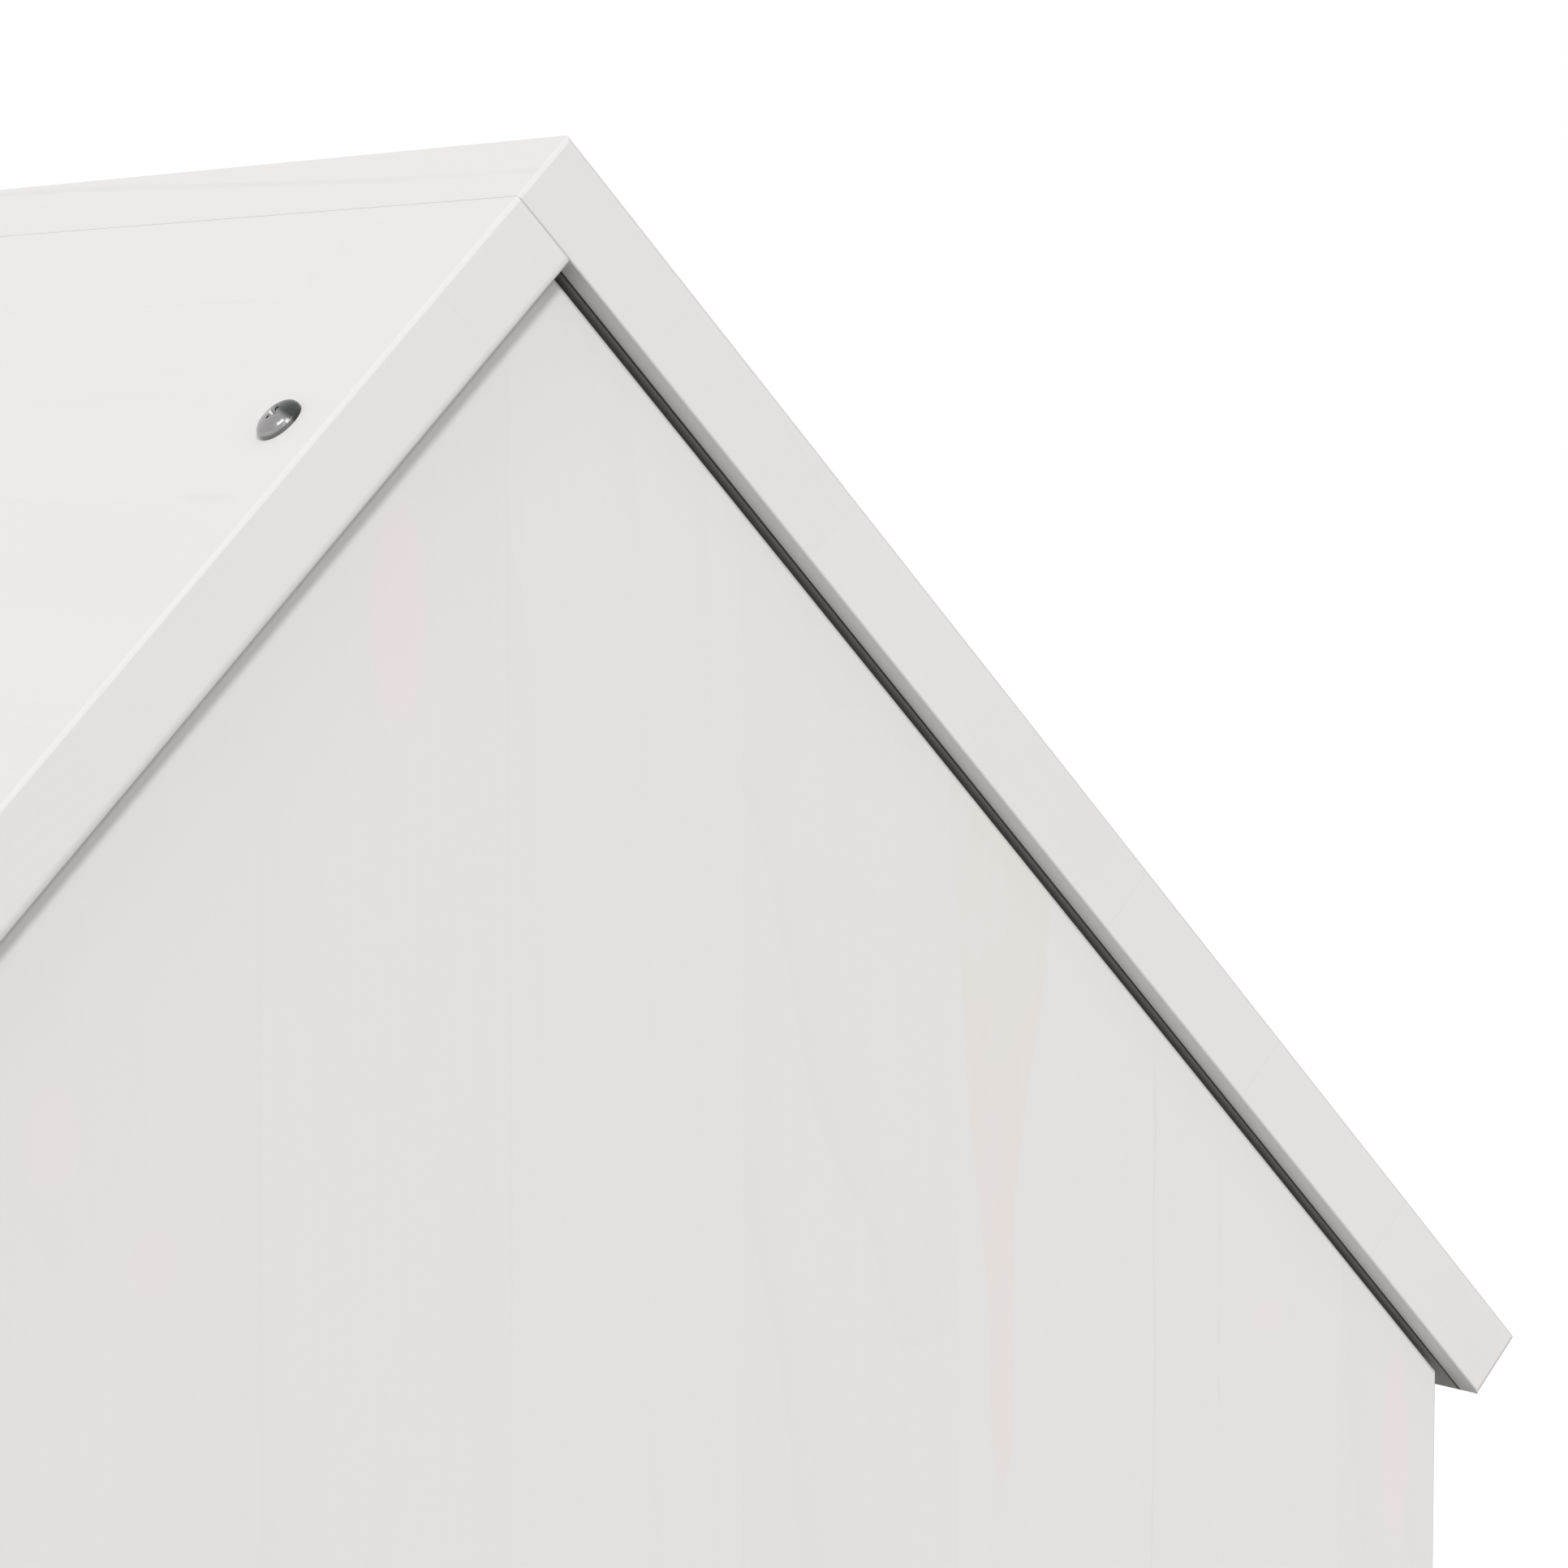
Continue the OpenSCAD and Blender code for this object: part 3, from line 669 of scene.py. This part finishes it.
def shade_over_gables(tree, place):
    """The underside over the gables' edges, coloured dark as painted shade of the gap, with a darker painted
    shadow line at its front edge
    """
    from_middle = calc(tree, "ABSOLUTE", node(tree, "ShaderNodeSeparateXYZ", {0: place}).outputs[1])
    past_inner = calc(tree, "GREATER_THAN", from_middle, -gable_high.y)
    before_outer = calc(tree, "LESS_THAN", from_middle, -gable_low.y)
    inside = calc(tree, "GREATER_THAN", below_roof(tree, place), ROOF_BOARD - GAP_SHADE_DEPTH)
    shadow_line = calc(tree, "GREATER_THAN", from_middle, -gable_low.y - GAP_SHADOW_WIDTH)
    return calc(tree, "MULTIPLY", calc(tree, "MULTIPLY", past_inner, before_outer), inside), shadow_line


def plane_under_rim(bm):
    """Takes a slim bevel off the left panel's lower front rim, wider towards the eave"""
    across = Vector((-inward.x, 0, inward.y))
    ends = []
    for corner, planed in ((inner_apex, PLANED_AT_RIDGE), (left_eave_inner, PLANED_AT_EAVE)):
        ends.append(Vector((corner.x, cad_low.y, corner.y)) - across * planed)
    lean = across * math.cos(PLANED_LEAN) + Vector((0, math.sin(PLANED_LEAN), 0))
    outwards = (ends[1] - ends[0]).cross(lean).normalized()
    outwards *= -math.copysign(1, outwards.y)
    everything = bm.verts[:] + bm.edges[:] + bm.faces[:]
    bmesh.ops.bisect_plane(bm, geom=everything, plane_co=ends[0], plane_no=outwards, clear_outer=True)
    bmesh.ops.holes_fill(bm, edges=bm.edges)
    weight = bm.edges.layers.float["bevel_weight_edge"]
    for edge in bm.edges:
        if all(abs((v.co - ends[0]).dot(outwards)) < 1e-6 for v in edge.verts):
            lengthwise = edge.calc_length() > ROOF_BOARD
            end_rim = JOINT_EASE if edge.verts[0].co.x > left_eave.x / 2 else EASE
            edge[weight] = (UNDER_EASE if lengthwise else end_rim) / EASE


def roof_marks(tree, place):
    """The soft dip of paint over the lap joint, a faint crack beside the ridge and the trace of a knot"""
    x, y, z = node(tree, "ShaderNodeSeparateXYZ", {0: place}).outputs
    level = calc(tree, "SUBTRACT", RIDGE_HEIGHT, calc(tree, "MULTIPLY_ADD", x, math.tan(PITCH), z))
    from_joint = calc(tree, "MULTIPLY_ADD", level, math.cos(PITCH), -ROOF_BOARD)
    dip = ramp(tree, calc(tree, "ABSOLUTE", from_joint), JOINT_SHADE, 0.0, 0.0, JOINT_DIP)
    dip = calc(tree, "MULTIPLY", dip, calc(tree, "LESS_THAN", x, 0.0))
    down = calc(tree, "MULTIPLY", x, -1 / math.cos(PITCH))
    wander = calc(tree, "MULTIPLY_ADD", noise(tree, place, (1, 30, 1)), 0.0012, -0.0006)
    down = calc(tree, "ADD", down, wander)
    crack_down = ramp(tree, y, cad_low.y, -0.020, RIDGE_CRACK_FRONT, RIDGE_CRACK_BACK)
    crack = ramp(tree, calc(tree, "ABSOLUTE", calc(tree, "SUBTRACT", down, crack_down)), 0.0011, 0.0002)
    crack = calc(tree, "MULTIPLY", crack, ramp(tree, noise(tree, place, (1, 26, 1)), 0.3, 0.6, 0.4, 1.8))
    crack = calc(tree, "MULTIPLY", crack, ramp(tree, y, cad_low.y + 0.0002, cad_low.y + 0.0014))
    aside = calc(tree, "DIVIDE", calc(tree, "SUBTRACT", down, KNOT_DOWN), 0.0012)
    along = calc(tree, "DIVIDE", calc(tree, "SUBTRACT", y, KNOT_Y), 0.010)
    reach = calc(tree, "MULTIPLY_ADD", aside, aside, calc(tree, "MULTIPLY", along, along))
    knot = ramp(tree, reach, 1.2, 0.1, 0.0, 1.5)
    return 0.0, 0.0, calc(tree, "MAXIMUM", dip, calc(tree, "MAXIMUM", crack, knot))


left_panel = [lap, left_eave, left_eave_inner, inner_apex]
left_rims = [OUTER_EASE, EASE, UNDER_EASE, JOINT_EASE]
right_panel = [apex, eave, eave_inner, inner_apex, lap]
right_rims = [EASE, EASE, UNDER_EASE, JOINT_EASE, OUTER_EASE]
for side, word, seed, outline, rims in (
    (-1, "left", 101, left_panel, left_rims),
    (1, "right", 118, right_panel, right_rims),
):
    bm = bmesh.new()
    board(bm, outline, cad_low.y, cad_high.y, rims)
    if word == "left":
        plane_under_rim(bm)
    weight = bm.edges.layers.float["bevel_weight_edge"]
    for edge in bm.edges:
        if all((v.co.xz - lap).length < ARRIS for v in edge.verts):
            edge[weight] = JOINT_ARRIS / EASE
    downhill = (side * slope.x, 0, slope.y)
    pine = painted_pine(
        "painted_" + word + "_roof", downhill, (0, 1, 0), seed, 0.026, roof_marks, shade_over_gables
    )
    board_piece(word + "_roof_board", bm, pine, word + "_roof_panel")

# Roof screws
# Long pan-head screws through each roof panel into the upper edges of the gables, two at each verge,
# and a row along the ridge through the right panel into the upper end of the left one.
ROOF_SCREW_END = 0.053
ROOF_SCREW_BACK = 0.002
RIDGE_SCREW_END = 0.060
RIDGE_SCREWS = 4
# Turns the painted dark side of the one screw head in view to the upper right
SEEN_SPIN = -14

screw_y = (rear_low.y + rear_high.y) / 2 - ROOF_SCREW_BACK
for side, word in ((-1, "left"), (1, "right")):
    seats = []
    for down in (ROOF_BOARD + ROOF_SCREW_END, (eave - apex).length - ROOF_SCREW_END):
        spot = apex + slope * down
        for y in (-screw_y, screw_y):
            seats.append(((side * spot.x, y, spot.y), (-side * inward.x, 0, -inward.y), hand.uniform(0, 90)))
    if word == "left":
        seats[0] = seats[0][:2] + (SEEN_SPIN,)
    drive_screws(word + "_roof_wood_screws", seats, LONG_SCREW, word + "_roof_screws")

spot = apex + slope * ROOF_BOARD / 2
seats = []
for i in range(RIDGE_SCREWS):
    y = (cad_high.y - RIDGE_SCREW_END) * (2 * i / (RIDGE_SCREWS - 1) - 1)
    seats.append(((spot.x, y, spot.y), (-inward.x, 0, -inward.y), hand.uniform(0, 90)))
drive_screws("ridge_wood_screws", seats, LONG_SCREW, "ridge_screws")

# Studio
# A pale floor that shows white to the camera and to mirrors and keeps the house's soft shadow, and a
# white room. A key lamp shines from the front left, and weaker broad ones from the front, the left and
# behind. The camera is the photo's.
FLOOR_REACH = 30.0
FLOOR_DROP = 0.0002
LIT_FLOOR = (0.19, 0.19, 0.19, 1)
SEEN_FLOOR = (0.8, 0.8, 0.8, 1)
FLOOR_GLOW = 0.32
ROOM_LIGHT = 0.57
LAMP_DISTANCE = 3
PHOTO_LENS = 102.0
PHOTO_PLACE = (-0.4277, -0.8668, 0.3835)
PHOTO_TILT = math.radians(4.391)
PHOTO_TURN = math.radians(37.463)

floor_mesh = bpy.data.meshes.new("studio_floor")
corners = [(x * FLOOR_REACH, y * FLOOR_REACH, -FLOOR_DROP) for x, y in ((-1, -1), (1, -1), (1, 1), (-1, 1))]
floor_mesh.from_pydata(corners, [], [(0, 1, 2, 3)])
studio_floor = bpy.data.objects.new("studio_floor", floor_mesh)
bpy.context.scene.collection.objects.link(studio_floor)
studio_floor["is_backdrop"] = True


def seen_directly(tree):
    """1 for rays from the camera, and for those that a mirror or glass sends on"""
    path = tree.nodes.new("ShaderNodeLightPath").outputs
    either = calc(tree, "MAXIMUM", path["Is Camera Ray"], path["Is Glossy Ray"])
    return calc(tree, "MAXIMUM", either, path["Is Transmission Ray"])


floor_paint = bpy.data.materials.new("studio_floor")
floor_paint.use_nodes = True
tree = floor_paint.node_tree
tree.nodes.clear()
lit_floor = node(tree, "ShaderNodeBsdfDiffuse", {"Color": LIT_FLOOR})
seen_floor = node(tree, "ShaderNodeBsdfDiffuse", {"Color": SEEN_FLOOR})
glow = node(tree, "ShaderNodeEmission", {"Strength": FLOOR_GLOW})
seen_floor = node(tree, "ShaderNodeAddShader", {0: seen_floor, 1: glow})
both = node(tree, "ShaderNodeMixShader", {0: seen_directly(tree), 1: lit_floor, 2: seen_floor})
node(tree, "ShaderNodeOutputMaterial", {"Surface": both})
floor_mesh.materials.append(floor_paint)

room = bpy.data.worlds.new("white_room")
bpy.context.scene.world = room
room.use_nodes = True
tree = room.node_tree
tree.nodes.clear()
strength = ramp(tree, seen_directly(tree), 0.0, 1.0, ROOM_LIGHT, 1.0)
backdrop = node(tree, "ShaderNodeBackground", {"Color": (1, 1, 1, 1), "Strength": strength})
node(tree, "ShaderNodeOutputWorld", {"Surface": backdrop})


def lamp(name, azimuth, elevation, energy, spread):
    """A far, round lamp. At azimuth 0 it shines along +Y, and at 90 along -X"""
    light = bpy.data.lights.new(name, "SUN")
    light.energy = energy
    light.angle = math.radians(spread)
    holder = bpy.data.objects.new(name, light)
    a, e = math.radians(azimuth), math.radians(elevation)
    back = Vector((math.sin(a) * math.cos(e), -math.cos(a) * math.cos(e), math.sin(e)))
    holder.rotation_euler = back.to_track_quat("Z", "Y").to_euler()
    holder.location = back * LAMP_DISTANCE
    bpy.context.scene.collection.objects.link(holder)


lamp("key_lamp", -30, 32, 1.50, 10)
lamp("front_lamp", -5, 5, 0.87, 50)
lamp("side_lamp", -79, 40, 0.46, 22)
lamp("back_lamp", 135, 20, 0.8, 30)

camera = bpy.data.cameras.new("photo_camera")
camera.lens = PHOTO_LENS
camera.sensor_width = 36.0
camera.clip_start = 0.01
photo_camera = bpy.data.objects.new("photo_camera", camera)
photo_camera.location = PHOTO_PLACE
photo_camera.rotation_euler = (math.radians(90) - PHOTO_TILT, 0, -PHOTO_TURN)
bpy.context.scene.collection.objects.link(photo_camera)
bpy.context.scene.camera = photo_camera
bpy.context.scene.view_settings.view_transform = "Standard"

low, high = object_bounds()
